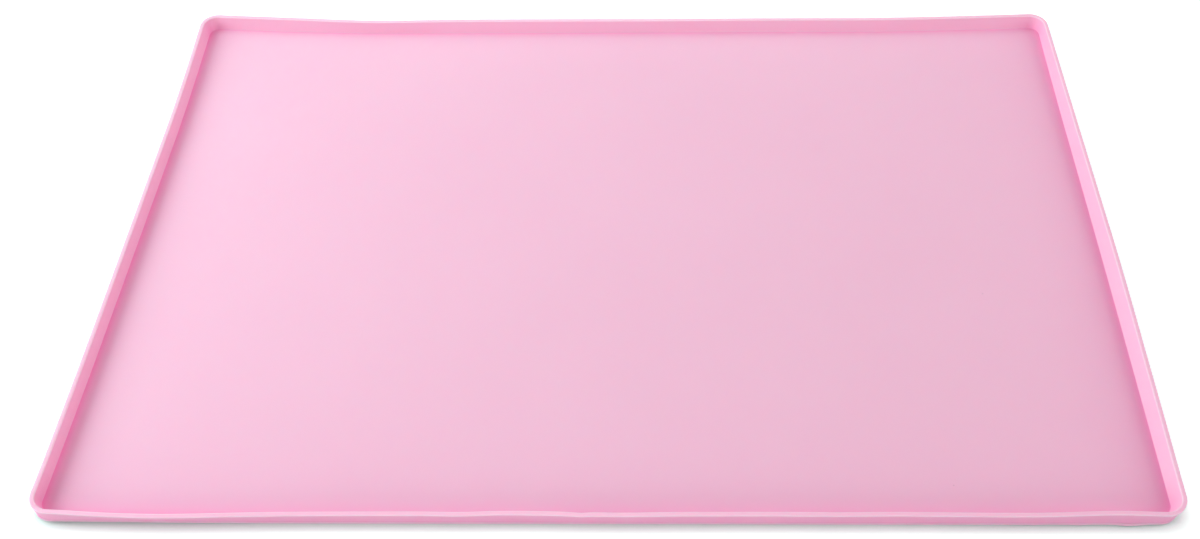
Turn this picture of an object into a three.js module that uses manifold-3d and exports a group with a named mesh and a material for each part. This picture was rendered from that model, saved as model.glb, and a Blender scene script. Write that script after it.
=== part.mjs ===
// Rimmed silicone pastry mat: one soft moulding with a flat floor and a low, outward-leaning rim all round.
// It is cut into two halves along the line where it folds, and the fold itself is a joint between them.
// Millimetres, +Z up. The origin is on the table under the middle of the mat, with +X along its length.
import * as THREE from 'three';
import { mergeVertices } from 'three/addons/utils/BufferGeometryUtils.js';
import Module from 'manifold-3d';

// Overall sizes, measured over the top of the rim
const MAT_LENGTH = 600;
const MAT_WIDTH = 400;
const RIM_HEIGHT = 11;
const CORNER_RADIUS = 12;

// Section through the floor and the rim
const FLOOR_THICKNESS = 2.2;
const RIM_TOP_WIDTH = 2.6;
const RIM_LEAN = 1.9; // how far the outer wall leans out from its foot to its shoulder
const WALL_DRAFT = 1; // how much thicker the wall is at its foot than at its top
const RIM_EDGE_RADIUS = 0.7;
const FLOOR_CORNER_RADIUS = 0.5;

// Thin ledge that the mould's parting line leaves round the foot of the rim
const LEDGE_WIDTH = 0.5;
const LEDGE_HEIGHT = 0.5;

// Clearance between the two halves at the fold
const FOLD_GAP = 0.3;

// How finely round corners are drawn
const PLAN_CORNER_STEPS = 4;
const SECTION_STEPS = 3;

const SILICONE_PINK = 0xf2bbd5;

const wasm = await Module();
wasm.setup();

// Rounded rectangle that lies a given distance inside the outline of the rim's top
function outline(inset) {
  const x = MAT_LENGTH / 2 - inset;
  const y = MAT_WIDTH / 2 - inset;
  const radius = CORNER_RADIUS - inset;
  const shape = new THREE.Shape();
  shape.moveTo(x, radius - y);
  shape.lineTo(x, y - radius);
  shape.absarc(x - radius, y - radius, radius, 0, Math.PI / 2);
  shape.lineTo(radius - x, y);
  shape.absarc(radius - x, y - radius, radius, Math.PI / 2, Math.PI);
  shape.lineTo(-x, radius - y);
  shape.absarc(radius - x, radius - y, radius, Math.PI, 1.5 * Math.PI);
  shape.lineTo(x - radius, -y);
  shape.absarc(x - radius, radius - y, radius, 1.5 * Math.PI, 2 * Math.PI);
  const points = shape.getPoints(PLAN_CORNER_STEPS);
  points.pop();
  return points;
}

// Quarter-round stretch of the section, as points of inset and height
function quarterRound(inset, height, radius, startAngle, endAngle) {
  const clockwise = endAngle < startAngle;
  const arc = new THREE.EllipseCurve(inset, height, radius, radius, startAngle, endAngle, clockwise);
  return arc.getPoints(SECTION_STEPS);
}

// Section from the underside's edge, up the outer wall, over the rim and down to the edge of the floor.
// Each point is how far it lies inside the rim's outline, and its height above the table.
function rimSection() {
  const shoulder = RIM_HEIGHT - RIM_EDGE_RADIUS;
  const innerFoot = FLOOR_THICKNESS + FLOOR_CORNER_RADIUS;
  const innerLean = RIM_LEAN * (shoulder - innerFoot) / (shoulder - LEDGE_HEIGHT) + WALL_DRAFT;
  const floorInset = RIM_TOP_WIDTH + innerLean + FLOOR_CORNER_RADIUS;
  const topInset = RIM_TOP_WIDTH - RIM_EDGE_RADIUS;
  return [
    new THREE.Vector2(RIM_LEAN - LEDGE_WIDTH, 0),
    new THREE.Vector2(RIM_LEAN - LEDGE_WIDTH, LEDGE_HEIGHT),
    new THREE.Vector2(RIM_LEAN, LEDGE_HEIGHT),
    ...quarterRound(RIM_EDGE_RADIUS, shoulder, RIM_EDGE_RADIUS, Math.PI, Math.PI / 2),
    ...quarterRound(topInset, shoulder, RIM_EDGE_RADIUS, Math.PI / 2, 0),
    ...quarterRound(floorInset, innerFoot, FLOOR_CORNER_RADIUS, Math.PI, 1.5 * Math.PI),
  ];
}

// Closed skin through one outline for each point of the section, capped by the underside and the floor
function moulding() {
  const rings = rimSection().map(({ x: inset, y: height }) => ({ points: outline(inset), height }));
  const count = rings[0].points.length;
  const positions = rings.flatMap(({ points, height }) => points.flatMap(({ x, y }) => [x, y, height]));
  const triangles = [];
  for (let ring = 0; ring < rings.length - 1; ring++) {
    for (let i = 0; i < count; i++) {
      const next = (i + 1) % count;
      const [a, b] = [ring * count + i, ring * count + next];
      const [c, d] = [a + count, b + count];
      triangles.push(a, b, d, a, d, c);
    }
  }
  const last = rings.length - 1;
  for (const [a, b, c] of THREE.ShapeUtils.triangulateShape(rings[0].points, [])) {
    triangles.push(c, b, a);
  }
  for (const [a, b, c] of THREE.ShapeUtils.triangulateShape(rings[last].points, [])) {
    triangles.push(last * count + a, last * count + b, last * count + c);
  }
  const geometry = new THREE.BufferGeometry();
  geometry.setAttribute('position', new THREE.Float32BufferAttribute(positions, 3));
  geometry.setIndex(triangles);
  return geometry;
}

function toSolid(geometry) {
  const bare = geometry.clone();
  bare.deleteAttribute('normal');
  bare.deleteAttribute('uv');
  const merged = mergeVertices(bare);
  return new wasm.Manifold(new wasm.Mesh({
    numProp: 3,
    vertProperties: new Float32Array(merged.attributes.position.array),
    triVerts: new Uint32Array(merged.index.array),
  }));
}

function toGeometry(solid) {
  const { vertProperties, triVerts } = solid.getMesh();
  const geometry = new THREE.BufferGeometry();
  geometry.setAttribute('position', new THREE.BufferAttribute(vertProperties, 3));
  geometry.setIndex(new THREE.BufferAttribute(triVerts, 1));
  geometry.computeVertexNormals();
  return geometry;
}

// The part of the moulding on one side of the fold: side is -1 for the left half and 1 for the right
function half(name, side) {
  const sideSpace = new THREE.BoxGeometry(MAT_LENGTH, 2 * MAT_WIDTH, 4 * RIM_HEIGHT);
  sideSpace.translate(side * (MAT_LENGTH + FOLD_GAP) / 2, 0, 0);
  const solid = toSolid(moulding()).intersect(toSolid(sideSpace));
  const material = new THREE.MeshStandardMaterial({ color: SILICONE_PINK, roughness: 0.55, metalness: 0 });
  const mesh = new THREE.Mesh(toGeometry(solid), material);
  mesh.name = name;
  return mesh;
}

const pastryMat = new THREE.Group();
pastryMat.name = 'pastry_mat';
pastryMat.add(half('left_half', -1));
pastryMat.add(half('right_half', 1));

export default pastryMat;
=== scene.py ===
"""Looks of a rimmed silicone pastry mat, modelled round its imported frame, as a Blender add-on."""

import math

import bmesh
import bpy
from bpy.props import FloatProperty, FloatVectorProperty, PointerProperty
from mathutils import Matrix, Vector, noise


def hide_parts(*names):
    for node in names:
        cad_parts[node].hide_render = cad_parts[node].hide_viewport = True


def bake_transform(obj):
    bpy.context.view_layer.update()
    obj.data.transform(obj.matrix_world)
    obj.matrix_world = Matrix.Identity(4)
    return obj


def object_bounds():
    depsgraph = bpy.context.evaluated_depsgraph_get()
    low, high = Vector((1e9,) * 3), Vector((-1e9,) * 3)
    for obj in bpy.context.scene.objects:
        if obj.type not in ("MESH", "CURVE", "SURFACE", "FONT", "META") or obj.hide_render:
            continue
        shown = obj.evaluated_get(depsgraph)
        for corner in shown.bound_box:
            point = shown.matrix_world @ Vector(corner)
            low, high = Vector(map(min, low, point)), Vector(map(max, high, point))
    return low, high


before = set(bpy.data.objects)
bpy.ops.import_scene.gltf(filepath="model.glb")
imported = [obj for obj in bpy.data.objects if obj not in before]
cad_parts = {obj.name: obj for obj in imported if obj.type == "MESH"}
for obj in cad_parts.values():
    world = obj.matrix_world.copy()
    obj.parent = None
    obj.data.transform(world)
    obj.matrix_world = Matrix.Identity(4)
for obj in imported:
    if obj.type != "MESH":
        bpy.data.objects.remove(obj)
CAD_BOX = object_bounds()

bl_info = {
    "name": "Silicone pastry mat",
    "version": (1, 0, 0),
    "blender": (4, 5, 0),
    "location": "3D View > Sidebar > Pastry Mat",
    "description": "Builds a soft rimmed silicone mat with its studio stage",
    "category": "Add Mesh",
}

MAT_LENGTH, MAT_WIDTH, RIM_HEIGHT = (CAD_BOX[1] - CAD_BOX[0])[:]
PHOTO_WIDTH = 1200
SENSOR_WIDTH = 36.0
LEVEL = 1e-6  # how near two heights are to count as the same level, in metres
RIM_SHARE = "rim_share"  # attribute that runs from 0 at the floor to 1 at the rim's top
PAINTED_HIGHLIGHT_SHARE = "painted_highlight_share"  # attribute with the share of the painted highlight, highest on the thin edges of the rim and the ledge
PAINTED_SHADE_SHARE = "painted_shade_share"  # attribute with the share of the painted crease shade


class SiliconeMat(bpy.types.PropertyGroup):
    """Sizes, form and colour of the mat."""

    length: FloatProperty(
        name="Length", description="Over the top of the rim, left to right",
        default=MAT_LENGTH, unit="LENGTH")
    width: FloatProperty(
        name="Width", description="Over the top of the rim, front to back",
        default=MAT_WIDTH, unit="LENGTH")
    rim_height: FloatProperty(
        name="Rim height", description="From the table to the top of the rim",
        default=RIM_HEIGHT, unit="LENGTH")
    corner_radius: FloatProperty(
        name="Corner radius", description="Of the rim's outline, seen from above",
        default=0.012, unit="LENGTH")
    floor_thickness: FloatProperty(
        name="Floor thickness", description="Of the flat floor inside the rim",
        default=0.0022, unit="LENGTH")
    rim_top_width: FloatProperty(
        name="Rim top width", description="Across the flat top of the rim",
        default=0.0026, unit="LENGTH")
    rim_lean: FloatProperty(
        name="Rim lean", description="How far the rim leans out from its foot to its top",
        default=0.0019, unit="LENGTH")
    wall_draft: FloatProperty(
        name="Wall draft", description="How much thicker the wall is at its foot than at its top",
        default=0.001, unit="LENGTH")
    rim_edge_radius: FloatProperty(
        name="Rim edge radius", description="Rounding of the two edges of the rim's top",
        default=0.0007, unit="LENGTH")
    floor_corner_radius: FloatProperty(
        name="Floor corner radius", description="Rounding where the floor meets the rim",
        default=0.0005, unit="LENGTH")
    ledge_width: FloatProperty(
        name="Ledge width", description="How far the parting-line ledge stands out at the rim's foot",
        default=0.0005, unit="LENGTH")
    ledge_height: FloatProperty(
        name="Ledge height", description="Thickness of the parting-line ledge",
        default=0.0005, unit="LENGTH")
    fold_reach: FloatProperty(
        name="Fold reach", description="How far each side of the fold line the silicone bends",
        default=0.005, unit="LENGTH")
    corner_lifts: FloatVectorProperty(
        name="Corner lifts",
        description="Curl of the front left, front right, back left and back right corners",
        size=4, default=(0.0020, 0.0009, 0.0056, 0.0034), unit="LENGTH")
    curl_reach: FloatVectorProperty(
        name="Curl reach", description="How far the corner curl reaches along the length and the width",
        size=2, default=(0.130, 0.110), unit="LENGTH")
    side_bows: FloatVectorProperty(
        name="Side bows",
        description="How far the rim's top bows out at the middle of the left and right sides",
        size=2, default=(-0.0004, 0.0026), unit="LENGTH")
    pink: FloatVectorProperty(
        name="Pink", description="Colour of the silicone",
        subtype="COLOR", size=3, default=(0.890, 0.515, 0.672), min=0.0, max=1.0)
    deep_pink: FloatVectorProperty(
        name="Deep pink", description="Colour of the silicone where its pigment is denser",
        subtype="COLOR", size=3, default=(0.870, 0.490, 0.648), min=0.0, max=1.0)
    # Painted light: the silicone's pink, made redder and deeper on the walls to stand in for light that
    # shines through the thin wall and bounces off the floor
    wall_glow_pink: FloatVectorProperty(
        name="Wall pink", description="Colour of the silicone in the standing wall of the rim",
        subtype="COLOR", size=3, default=(0.935, 0.490, 0.665), min=0.0, max=1.0)
    # Painted shade at the foot of the rim, on its inner and outer walls, and deepest in its corners
    crease_shade_pink: FloatVectorProperty(
        name="Crease pink",
        description="Colour of the silicone where it is thickest, at the foot of the rim",
        subtype="COLOR", size=3, default=(0.880, 0.225, 0.490), min=0.0, max=1.0)
    # Painted highlight along the rounded edges of the rim's top and on the ledge
    highlight_pink: FloatVectorProperty(
        name="Pale pink", description="Colour of the silicone along its thin edges",
        subtype="COLOR", size=3, default=(0.95, 0.67, 0.79), min=0.0, max=1.0)
    dust: FloatVectorProperty(
        name="Dust", description="Colour of the dust specks that cling to the silicone",
        subtype="COLOR", size=3, default=(0.62, 0.36, 0.47), min=0.0, max=1.0)


class MatStage(bpy.types.PropertyGroup):
    """Camera, light and table of the studio."""

    eye: FloatVectorProperty(
        name="Eye", description="Where the camera stands",
        size=3, default=(0.0358, -0.5327, 0.6009), subtype="TRANSLATION", unit="LENGTH")
    pitch: FloatProperty(
        name="Pitch", description="How far the camera looks down",
        default=math.radians(49.797), subtype="ANGLE")
    pan: FloatProperty(
        name="Pan", description="How far the camera is turned to the left",
        default=math.radians(1.343), subtype="ANGLE")
    roll: FloatProperty(
        name="Roll", description="How far the camera is tipped sideways",
        default=math.radians(-1.077), subtype="ANGLE")
    focal_length: FloatProperty(
        name="Focal length", description="Of the lens, in millimetres on a 36 mm sensor",
        default=38.898)
    optical_centre: FloatProperty(
        name="Optical centre",
        description="Column of the 1200 pixel wide picture that the lens is centred on",
        default=653.0, subtype="PIXEL")
    sky: FloatVectorProperty(
        name="Sky", description="Colour of the even light from all round",
        subtype="COLOR", size=3, default=(1.0, 1.0, 1.0), min=0.0, max=1.0)
    sky_strength: FloatProperty(
        name="Sky strength", description="Strength of the even light from all round", default=0.06)
    lamp_strength: FloatProperty(
        name="Lamp strength", description="Multiplies the power of every soft lamp", default=1.0)
    table: FloatVectorProperty(
        name="Table", description="Colour of the pale table",
        subtype="COLOR", size=3, default=(0.70, 0.83, 0.78), min=0.0, max=1.0)
    table_glow: FloatProperty(
        name="Table glow", description="What brings the table up to white in the picture", default=0.5)
    # Painted shadow: reach of the ambient occlusion that fades the table's glow near the mat
    shadow_reach: FloatProperty(
        name="Shadow reach",
        description="How far out from the mat's edge the table's glow fades, so that its shadow stays",
        default=0.008, unit="LENGTH")


WALL_SLOPE = 0.9  # upright part of a face's normal, below which the face counts as a wall
CORNER_STEPS = 12
RIM_EDGE_STEPS = 6
FLOOR_CORNER_STEPS = 5
LEDGE_EDGE_STEPS = 3
LEDGE_ROUNDING = 0.4  # radius of the underside's edge, in heights of the ledge
LENGTH_STEP = 0.006  # spacing of the cuts along the length
WIDTH_STEP = 0.008  # spacing of the cuts along the width
FOLD_STEP = 0.0004  # spacing of the cuts round the fold line
LEDGE_CUT = 2  # height, in heights of the ledge, where the rim is cut so that the ledge keeps its painted highlight to itself


def smooth_share(value):
    """Rises smoothly from 0 to 1 as value does."""
    value = min(max(value, 0.0), 1.0)
    return value * value * (3 - 2 * value)


def ring(bm, mat, inset, height):
    """A flat face with round corners, this far inside the rim's outline, and the edges round it."""
    before = set(bm.edges)
    corners = bmesh.ops.create_grid(bm, x_segments=1, y_segments=1, size=0.5)["verts"]
    bmesh.ops.scale(bm, vec=(mat.length - 2 * inset, mat.width - 2 * inset, 1), verts=corners)
    bmesh.ops.translate(bm, vec=(0, 0, height), verts=corners)
    bmesh.ops.bevel(
        bm, geom=corners, offset=mat.corner_radius - inset, affect="VERTICES", segments=CORNER_STEPS,
        profile=0.5, material=-1)
    edges = [e for e in bm.edges if e not in before]
    return edges[0].link_faces[0], edges


def level_edges(bm, height):
    """The edges that lie level at a height and bound an upright or slanted wall there."""
    return [
        e for e in bm.edges
        if all(abs(v.co.z - height) < LEVEL for v in e.verts)
        and any(abs(f.normal.z) < WALL_SLOPE for f in e.link_faces)
    ]


def rounded(bm, edges, radius, steps):
    bmesh.ops.bevel(
        bm, geom=edges, offset=radius, affect="EDGES", segments=steps, profile=0.5, material=-1)


def plain_moulding(mat):
    """The mat as its mould leaves it: a plate with a ledge, a leaning rim and a sunken floor."""
    bm = bmesh.new()
    foot = mat.rim_lean - mat.ledge_width
    depth = mat.rim_height - mat.floor_thickness
    inner_lean = wall_width(mat) - mat.rim_top_width
    _, base = ring(bm, mat, foot, 0.0)
    ledge, ledge_edges = ring(bm, mat, foot, mat.ledge_height)
    floor, rim_edges = ring(bm, mat, 0.0, mat.rim_height)
    bmesh.ops.bridge_loops(bm, edges=base + ledge_edges)
    bmesh.ops.inset_region(bm, faces=[ledge], thickness=mat.ledge_width, use_even_offset=True)
    foot_edges = ledge.edges[:]
    bmesh.ops.delete(bm, geom=[ledge], context="FACES_ONLY")
    bmesh.ops.bridge_loops(bm, edges=foot_edges + rim_edges)
    bmesh.ops.inset_region(bm, faces=[floor], thickness=mat.rim_top_width, use_even_offset=True)
    bmesh.ops.inset_region(bm, faces=[floor], thickness=inner_lean, depth=-depth, use_even_offset=True)
    bmesh.ops.recalc_face_normals(bm, faces=bm.faces[:])
    rounded(bm, level_edges(bm, mat.rim_height), mat.rim_edge_radius, RIM_EDGE_STEPS)
    rounded(bm, level_edges(bm, mat.floor_thickness), mat.floor_corner_radius, FLOOR_CORNER_STEPS)
    rounded(bm, level_edges(bm, 0.0), LEDGE_ROUNDING * mat.ledge_height, LEDGE_EDGE_STEPS)
    return bm


def steps_between(low, high, step):
    """Evenly spaced places from low to high, about a step apart."""
    count = max(1, round((high - low) / step))
    return [low + (high - low) * i / count for i in range(count + 1)]


def cut_across(bm, axis, places):
    """Cuts the whole moulding along planes at these places on the X, Y or Z axis."""
    normal = Vector((axis == 0, axis == 1, axis == 2))
    for place in places:
        bmesh.ops.bisect_plane(
            bm, geom=bm.verts[:] + bm.edges[:] + bm.faces[:], dist=LEVEL,
            plane_co=normal * place, plane_no=normal)


CURL_POWER = 1.5  # how sharply a corner's curl rises towards its tip


def corner_curl(mat, x, y):
    """How far the mat's corner lifts off the table at a place."""
    lift = 0.0
    corners = ((-1, -1), (1, -1), (-1, 1), (1, 1))
    for (side_x, side_y), rise in zip(corners, mat.corner_lifts):
        along = max(0.0, 1 - (mat.length / 2 - side_x * x) / mat.curl_reach[0])
        across = max(0.0, 1 - (mat.width / 2 - side_y * y) / mat.curl_reach[1])
        lift += rise * (along * across) ** CURL_POWER
    return lift


# Soft spots along the front and back rims: place along the length, how far the rim's top sways out there,
# and how far that reaches
FRONT_SWAYS = (
    (-0.235, 0.0021, 0.045),
    (-0.075, 0.0004, 0.012),
    (-0.045, -0.0004, 0.020),
    (-0.013, 0.0007, 0.004),
    (0.010, 0.0005, 0.020),
    (0.120, 0.0003, 0.020),
    (0.200, 0.0001, 0.035),
    (0.262, -0.0010, 0.025),
)
BACK_SWAYS = (
    (-0.175, -0.0012, 0.040),
)
# Remains of mould flash on the front ledge: place along the length, how far it stands out,
# and how far it reaches
FLASH = (
    (0.272, 0.0010, 0.006),
    (0.245, 0.0004, 0.005),
    (0.220, 0.0003, 0.005),
)
FLOOR_STEPS = (0.0012, 0.0024, 0.0040, 0.0090)  # distances from the foot of the rim where the floor is cut
# Painted shade along the foot of the left, right, front and back rims: its share at the foot, the distance
# over which it fades, and the share that reaches further across the floor
CREASE_SHADES = (
    (1.00, 0.0046, 0.00),
    (0.74, 0.0042, 0.21),
    (0.55, 0.0042, 0.12),
    (0.60, 0.0024, 0.00),
)
WALL_SHADES = (0.19, 0.09, 0.09, 0.04)  # share of the painted crease shade in the inner walls, in the same order
FILLET_TOP = 0.02  # share of the rim's height where the inner wall begins
CORNER_SHADE = 0.75  # share of painted shade that is added at the foot of the wall, deep in a corner
SHADE_SPREAD = 0.030  # distance over which the far-reaching share of painted shade fades
FOOT_BOW = 0.4  # share of a side's bow that the foot of its rim follows
FOOT_SKEW = 0.0067  # how far the foot of the left rim is out of line with its top, along the width
SKEW_CENTRE = 0.09  # place along the width where that foot is in line
# How far to the right the tops of the left and right rims lean: at the middle, and how much more at the back
TOP_SHIFTS = ((0.0007, 0.0007), (0.0, -0.0009))
SWAY_WAVE = 9.0  # waves of the rim's sway per metre
SWAY_DEPTH = 0.0005
SWAY_SPACING = 3.7  # how far apart the four sides lie in the noise that makes them sway
SWAY_SLICE = 0.5  # height of the slice through that noise
STIFF_RADII = 3  # corner radii over which a corner holds the sway back
LEDGE_TOP = 1.5  # height, in heights of the ledge, below which a place belongs to the ledge
OUTER_WALL_TOP = 0.93  # share of the rim's height where the outer wall ends and its rounded edge begins
OUTER_WALL_SHADE = 0.45  # share of the painted crease shade in the outer wall
CORNER_SHADE_REACH = 0.025  # how far from both walls of a corner its painted shade reaches
LEDGE_HIGHLIGHT = 0.6  # share of the painted highlight on the ledge
EDGE_HIGHLIGHT = 0.8  # share of the painted highlight on the rounded edges of the rim's top
FLAT_HIGHLIGHT = 0.15  # how strong the painted highlight is on the flat between them, against the edges
# Shares of the rim's height: where the painted highlight starts, how long it rises, and how near the top it
# falls
HIGHLIGHT_START = 0.92
HIGHLIGHT_RISE = 0.03
HIGHLIGHT_FALL = 0.012


def bulge(place, spots):
    """Sum of the soft bumps at these spots."""
    return sum(out * math.exp(-((place - spot) / reach) ** 2) for spot, out, reach in spots)


def rim_sway(mat, place, side):
    """How far the rim's top sways out of line, at a place along one side."""
    sway = SWAY_DEPTH * noise.noise(Vector((place * SWAY_WAVE, SWAY_SPACING * side, SWAY_SLICE)))
    if side < 2:
        sway += bulge(place, (FRONT_SWAYS, BACK_SWAYS)[side])
    return sway


def rim_highlight(up):
    """Painted highlight: strongest on the two rounded edges of the rim's top, and weaker on the flat between
    them.
    """
    rising = (up - HIGHLIGHT_START) / HIGHLIGHT_RISE
    falling = FLAT_HIGHLIGHT + (1 - FLAT_HIGHLIGHT) * (1 - up) / HIGHLIGHT_FALL
    return EDGE_HIGHLIGHT * max(0.0, min(rising, 1.0, falling))


def wall_width(mat):
    """How far inside the rim's outline the foot of its inner wall meets the floor."""
    depth = mat.rim_height - mat.floor_thickness
    return mat.rim_top_width + mat.rim_lean * depth / (mat.rim_height - mat.ledge_height) + mat.wall_draft


def painted_crease_shade(mat, x, y):
    """Share of the painted crease shade at a place on the floor, highest in the corners."""
    half_x, half_y = mat.length / 2, mat.width / 2
    plain = 1.0
    for from_edge, (share, length, far) in zip((half_x + x, half_x - x, half_y + y, half_y - y), CREASE_SHADES):
        away = max(0.0, from_edge - wall_width(mat))
        near = share * math.exp(-away / length)
        plain *= (1 - near) * (1 - far * math.exp(-away / SHADE_SPREAD))
    return 1 - plain


def lie_down(bm, mat):
    """Moves the plain moulding into the way it lies: curled corners, bowed sides and a wavy rim."""
    half_x, half_y = mat.length / 2, mat.width / 2
    stiff = STIFF_RADII * mat.corner_radius
    wall = wall_width(mat) + mat.floor_corner_radius
    rim_share = bm.verts.layers.float.new(RIM_SHARE)
    painted_highlight_share = bm.verts.layers.float.new(PAINTED_HIGHLIGHT_SHARE)
    painted_shade_share = bm.verts.layers.float.new(PAINTED_SHADE_SHARE)
    for v in bm.verts:
        x, y, z = v.co
        up = v[rim_share] = max(0.0, (z - mat.floor_thickness) / (mat.rim_height - mat.floor_thickness))
        # Painted highlight on the rounded edges of the rim's top
        v[painted_highlight_share] = rim_highlight(up)
        shift = Vector((0, 0, corner_curl(mat, x, y)))
        bow = mat.side_bows[x > 0] * (x / half_x) * (1 - (y / half_y) ** 2)
        shift.x += bow * (FOOT_BOW + (1 - FOOT_BOW) * up)
        middle, more = TOP_SHIFTS[x > 0]
        shift.x += (middle + more * y / half_y) * up * abs(x) / half_x
        if x < 0:
            shift.x += FOOT_SKEW * (y - SKEW_CENTRE) * (1 - up) * -x / half_x
        from_end = half_x - abs(x)
        from_side = half_y - abs(y)
        from_edge = min(from_end, from_side)
        # Painted shade: the floor darkens towards the foot of the rim, the inner walls take a set share that
        # deepens in a corner, and the outer wall takes a share too
        if z > LEDGE_TOP * mat.ledge_height and from_edge > mat.rim_top_width:
            v[painted_shade_share] = painted_crease_shade(mat, x, y)
            if up > FILLET_TOP:
                in_corner = max(0.0, 1 - from_end / CORNER_SHADE_REACH) * max(0.0, 1 - from_side / CORNER_SHADE_REACH)
                nearest = int(x > 0) if from_end < from_side else 2 + int(y > 0)
                v[painted_shade_share] = WALL_SHADES[nearest] + CORNER_SHADE * in_corner * (1 - up)
        elif z > LEDGE_TOP * mat.ledge_height and up < OUTER_WALL_TOP:
            v[painted_shade_share] = OUTER_WALL_SHADE
        # Painted highlight on the ledge
        if LEVEL < z < LEDGE_TOP * mat.ledge_height and from_edge < mat.rim_lean:
            v[painted_highlight_share] = LEDGE_HIGHLIGHT
            if y < -half_y + mat.rim_lean:
                shift.y -= bulge(x, FLASH)
        if from_side < wall and up > 0:
            side = 0 if y < 0 else 1
            ease = smooth_share(from_end / stiff)
            shift.y += math.copysign(1, y) * rim_sway(mat, x, side) * up * ease
        if from_end < wall and up > 0:
            side = 2 if x < 0 else 3
            ease = smooth_share(from_side / stiff)
            shift.x += math.copysign(1, x) * rim_sway(mat, y, side) * up * ease
        v.co += shift


class Nodes:
    """Adds nodes to a material and links them."""

    def __init__(self, name):
        self.material = bpy.data.materials.new(name)
        self.material.use_nodes = True
        self.tree = self.material.node_tree
        self.shader = self.tree.nodes["Principled BSDF"]
        self.output = self.tree.nodes["Material Output"]

    def add(self, kind, inputs=None, **settings):
        node = self.tree.nodes.new(kind)
        for name, value in settings.items():
            setattr(node, name, value)
        for name, value in (inputs or {}).items():
            if isinstance(value, bpy.types.NodeSocket):
                self.tree.links.new(value, node.inputs[name])
            else:
                node.inputs[name].default_value = value
        return node

    def link(self, source, target):
        self.tree.links.new(source, target)


def silicone(mat):
    """Satin, slightly translucent pink silicone, with fine mould grain, pigment clouds and clinging dust,
    and with painted glow on the walls, painted shade at the foot of the rim and painted highlights on its
    edges.
    """
    n = Nodes("pink_silicone")
    place = n.add("ShaderNodeTexCoord").outputs["Object"]
    clouds = n.add("ShaderNodeTexNoise", {"Vector": place, "Scale": 9.0, "Detail": 3.0})
    pigment = n.add(
        "ShaderNodeMix", {"Factor": clouds.outputs["Fac"], "A": (*mat.pink, 1), "B": (*mat.deep_pink, 1)},
        data_type="RGBA")
    specks = n.add("ShaderNodeTexVoronoi", {"Vector": place, "Scale": 26.0, "Randomness": 1.0})
    speck_share = n.add(
        "ShaderNodeMapRange",
        {"Value": specks.outputs["Distance"], "From Min": 0.010, "From Max": 0.016,
         "To Min": 0.55, "To Max": 0.0})
    dusty = n.add(
        "ShaderNodeMix",
        {"Factor": speck_share.outputs["Result"], "A": pigment.outputs["Result"], "B": (*mat.dust, 1)},
        data_type="RGBA")
    rim = n.add("ShaderNodeAttribute", attribute_name=RIM_SHARE)
    # Painted light on the walls of the rim
    wall_glow_share = n.add("ShaderNodeMapRange", {"Value": rim.outputs["Fac"], "From Max": 0.15})
    colour = dusty
    for share, tint in (
        # painted glow on the walls
        (wall_glow_share.outputs["Result"], mat.wall_glow_pink),
        # painted shade at the foot of the rim and on its walls
        (n.add("ShaderNodeAttribute", attribute_name=PAINTED_SHADE_SHARE).outputs["Fac"], mat.crease_shade_pink),
        # painted highlight on the rim's edges and the ledge
        (n.add("ShaderNodeAttribute", attribute_name=PAINTED_HIGHLIGHT_SHARE).outputs["Fac"], mat.highlight_pink),
    ):
        colour = n.add(
            "ShaderNodeMix", {"Factor": share, "A": colour.outputs["Result"], "B": (*tint, 1)},
            data_type="RGBA")
    n.link(colour.outputs["Result"], n.shader.inputs["Base Color"])
    grain = n.add("ShaderNodeTexNoise", {"Vector": place, "Scale": 1500.0, "Detail": 2.0})
    matt = n.add(
        "ShaderNodeMapRange",
        {"Value": clouds.outputs["Fac"], "From Min": 0.3, "From Max": 0.7, "To Min": 0.86, "To Max": 0.96})
    roughness = n.add(
        "ShaderNodeMix", {"Factor": rim.outputs["Fac"], "A": matt.outputs["Result"], "B": 0.28})
    n.link(roughness.outputs["Result"], n.shader.inputs["Roughness"])
    bump = n.add("ShaderNodeBump", {"Height": grain.outputs["Fac"], "Strength": 0.25, "Distance": 0.0001})
    n.link(bump.outputs["Normal"], n.shader.inputs["Normal"])
    n.shader.inputs["IOR"].default_value = 1.43
    n.shader.inputs["Specular IOR Level"].default_value = 0.28
    n.shader.inputs["Subsurface Weight"].default_value = 0.3
    n.shader.inputs["Subsurface Radius"].default_value = (1.0, 0.3, 0.45)
    n.shader.inputs["Subsurface Scale"].default_value = 0.0012
    return n.material


class PASTRYMAT_OT_mat(bpy.types.Operator):
    """Model the soft silicone mat in place of the two halves of its frame"""

    bl_idname = "pastry_mat.mat"
    bl_label = "Silicone Mat"

    def execute(self, context):
        mat = context.scene.silicone_mat
        bm = plain_moulding(mat)
        margin = mat.corner_radius
        fold = mat.fold_reach
        half_x, half_y = mat.length / 2, mat.width / 2
        outer = half_x - margin
        cut_across(bm, 0, steps_between(-outer, -fold, LENGTH_STEP)[:-1])
        cut_across(bm, 0, steps_between(-fold, fold, FOLD_STEP))
        cut_across(bm, 0, steps_between(fold, outer, LENGTH_STEP)[1:])
        cut_across(bm, 1, steps_between(margin - half_y, half_y - margin, WIDTH_STEP))
        cut_across(bm, 2, (LEDGE_CUT * mat.ledge_height,))
        for step in FLOOR_STEPS:
            inset = wall_width(mat) + step
            cut_across(bm, 0, (inset - half_x, half_x - inset))
            cut_across(bm, 1, (inset - half_y, half_y - inset))
        lie_down(bm, mat)
        mesh = bpy.data.meshes.new("silicone_mat")
        bm.to_mesh(mesh)
        bm.free()
        mesh.shade_smooth()
        mesh.materials.append(silicone(mat))
        piece = bpy.data.objects.new("silicone_mat", mesh)
        context.collection.objects.link(piece)
        even = piece.modifiers.new("Even normals", "WEIGHTED_NORMAL")
        even.keep_sharp = True
        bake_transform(piece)
        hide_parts("left_half", "right_half")
        return {"FINISHED"}


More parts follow.
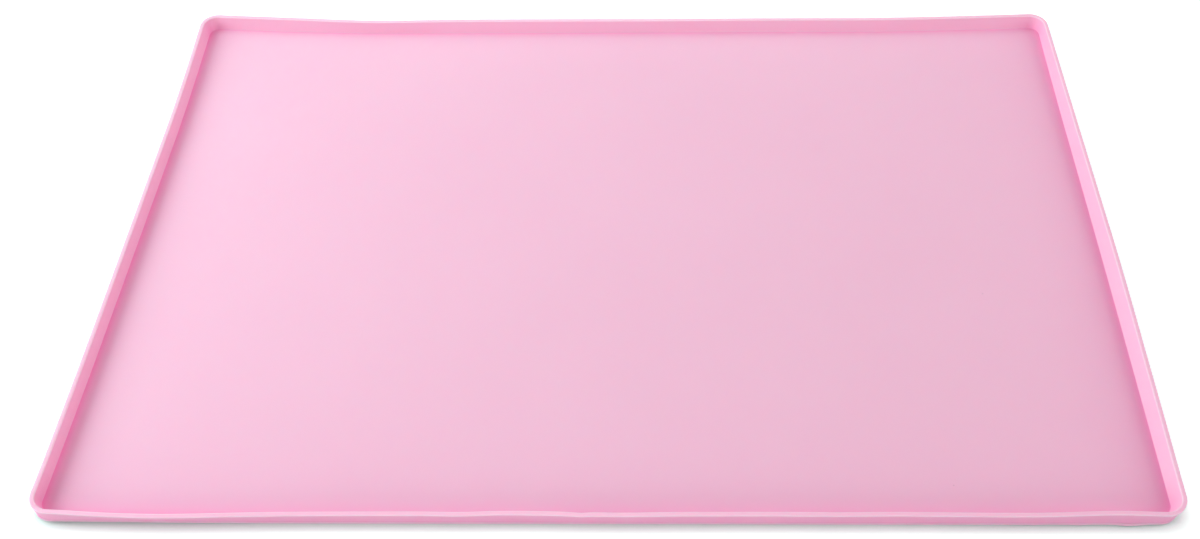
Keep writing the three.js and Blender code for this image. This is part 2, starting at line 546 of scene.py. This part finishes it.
def background_rays(tree):
    """1 for the rays that show the background: straight, off glossy surfaces and through clear ones."""
    rays = tree.nodes.new("ShaderNodeLightPath")
    seen = rays.outputs["Is Camera Ray"]
    for kind in ("Is Glossy Ray", "Is Transmission Ray"):
        either = tree.nodes.new("ShaderNodeMath")
        either.operation = "MAXIMUM"
        tree.links.new(seen, either.inputs[0])
        tree.links.new(rays.outputs[kind], either.inputs[1])
        seen = either.outputs[0]
    return seen


def table_material(stage):
    """Pale table that shows white in the picture and keeps the mat's shadow, with a painted contact shadow
    where its glow fades near the mat.
    """
    n = Nodes("pale_table")
    n.shader.inputs["Base Color"].default_value = (*stage.table, 1)
    n.shader.inputs["Roughness"].default_value = 0.9
    n.shader.inputs["Specular IOR Level"].default_value = 0.0
    place = n.add("ShaderNodeTexCoord").outputs["Object"]
    away = n.add("ShaderNodeVectorMath", {0: place}, operation="LENGTH")
    far_glow = n.add(
        "ShaderNodeMapRange",
        {"Value": away.outputs["Value"], "From Min": 0.5, "From Max": 1.2,
         "To Min": stage.table_glow, "To Max": 1.0})
    # Painted shadow: ambient occlusion fades the table's glow near the mat, which darkens the table there
    nearness = n.add("ShaderNodeAmbientOcclusion", {"Distance": stage.shadow_reach}, samples=8)
    open_share = n.add(
        "ShaderNodeMapRange",
        {"Value": nearness.outputs["AO"], "From Min": 0.46, "From Max": 0.95,
         "To Max": far_glow.outputs["Result"]})
    glow = n.add(
        "ShaderNodeMath", {0: background_rays(n.tree), 1: open_share.outputs["Result"]},
        operation="MULTIPLY")
    emission = n.add("ShaderNodeEmission", {"Strength": glow.outputs[0]})
    both = n.add("ShaderNodeAddShader", {0: n.shader.outputs[0], 1: emission.outputs[0]})
    n.link(both.outputs[0], n.output.inputs["Surface"])
    return n.material


def sky_light(scene, stage):
    """Even light from all round, seen as plain white."""
    scene.world = bpy.data.worlds.new("studio_sky")
    scene.world.use_nodes = True
    tree = scene.world.node_tree
    background = tree.nodes["Background"]
    background.inputs["Color"].default_value = (*stage.sky, 1)
    strength = tree.nodes.new("ShaderNodeMapRange")
    strength.inputs["To Min"].default_value = stage.sky_strength
    strength.inputs["To Max"].default_value = 1.0
    tree.links.new(background_rays(tree), strength.inputs["Value"])
    tree.links.new(strength.outputs["Result"], background.inputs["Strength"])


COOL_WHITE = (0.76, 1.0, 0.97)
WHITE = (1.0, 1.0, 1.0)
TABLE_HALF_SIDE = 6.0
TABLE_DROP = 0.0002  # how far the table lies below the mat, so that the two faces don't coincide
# Soft lamps round the mat: name, place and side in metres, power in watts, and colour
LAMPS = (
    ("left_lamp", (-0.95, 0.15, 0.50), 0.7, 6.3, COOL_WHITE),
    ("front_left_lamp", (-1.80, -0.40, 0.90), 1.2, 20.2, WHITE),
    ("front_right_lamp", (1.80, -0.20, 0.90), 1.2, 19.3, WHITE),
    ("front_lamp", (0.00, -1.10, 0.30), 0.5, 3.9, WHITE),
    ("back_lamp", (0.00, 1.10, 0.80), 0.9, 6.2, WHITE),
    ("top_lamp", (-0.10, 0.35, 1.30), 0.5, 2.9, WHITE),
)


def soft_lamp(context, name, place, size, power, colour):
    """A square lamp that looks at the middle of the mat."""
    light = bpy.data.lights.new(name, "AREA")
    light.size = size
    light.energy = power
    light.color = colour
    lamp = bpy.data.objects.new(name, light)
    lamp.location = place
    lamp.rotation_euler = (-place).to_track_quat("-Z", "Y").to_euler()
    lamp.visible_camera = False
    context.collection.objects.link(lamp)


class PASTRYMAT_OT_stage(bpy.types.Operator):
    """Set up the table, the light and the camera"""

    bl_idname = "pastry_mat.stage"
    bl_label = "Studio Stage"

    def execute(self, context):
        scene = context.scene
        stage = scene.mat_stage
        scene.view_settings.view_transform = "Standard"
        bm = bmesh.new()
        bmesh.ops.create_grid(bm, x_segments=1, y_segments=1, size=TABLE_HALF_SIDE)
        bmesh.ops.translate(bm, vec=(0, 0, -TABLE_DROP), verts=bm.verts)
        mesh = bpy.data.meshes.new("table")
        bm.to_mesh(mesh)
        bm.free()
        mesh.materials.append(table_material(stage))
        table = bpy.data.objects.new("table", mesh)
        context.collection.objects.link(table)
        sky_light(scene, stage)
        for name, place, size, power, colour in LAMPS:
            soft_lamp(context, name, Vector(place), size, power * stage.lamp_strength, colour)
        lens = bpy.data.cameras.new("camera")
        lens.sensor_fit = "HORIZONTAL"
        lens.sensor_width = SENSOR_WIDTH
        lens.lens = stage.focal_length
        lens.shift_x = 0.5 - stage.optical_centre / PHOTO_WIDTH
        camera = bpy.data.objects.new("camera", lens)
        camera.matrix_world = (
            Matrix.Translation(stage.eye)
            @ Matrix.Rotation(stage.pan, 4, "Z")
            @ Matrix.Rotation(math.pi / 2 - stage.pitch, 4, "X")
            @ Matrix.Rotation(stage.roll, 4, "Z"))
        context.collection.objects.link(camera)
        scene.camera = camera
        return {"FINISHED"}


class PASTRYMAT_PT_panel(bpy.types.Panel):
    """Lists the steps that build the mat and its stage"""

    bl_idname = "PASTRYMAT_PT_panel"
    bl_label = "Pastry Mat"
    bl_space_type = "VIEW_3D"
    bl_region_type = "UI"
    bl_category = "Pastry Mat"

    def draw(self, context):
        for operator, settings in (
            (PASTRYMAT_OT_mat, context.scene.silicone_mat),
            (PASTRYMAT_OT_stage, context.scene.mat_stage),
        ):
            box = self.layout.box()
            box.operator(operator.bl_idname)
            for name in settings.__annotations__:
                box.prop(settings, name)


CLASSES = (SiliconeMat, MatStage, PASTRYMAT_OT_mat, PASTRYMAT_OT_stage, PASTRYMAT_PT_panel)


def register():
    for cls in CLASSES:
        bpy.utils.register_class(cls)
    bpy.types.Scene.silicone_mat = PointerProperty(type=SiliconeMat)
    bpy.types.Scene.mat_stage = PointerProperty(type=MatStage)


def unregister():
    del bpy.types.Scene.mat_stage
    del bpy.types.Scene.silicone_mat
    for cls in reversed(CLASSES):
        bpy.utils.unregister_class(cls)


def main():
    register()
    bpy.ops.pastry_mat.mat()
    bpy.ops.pastry_mat.stage()


if __name__ == "__main__":
    main()
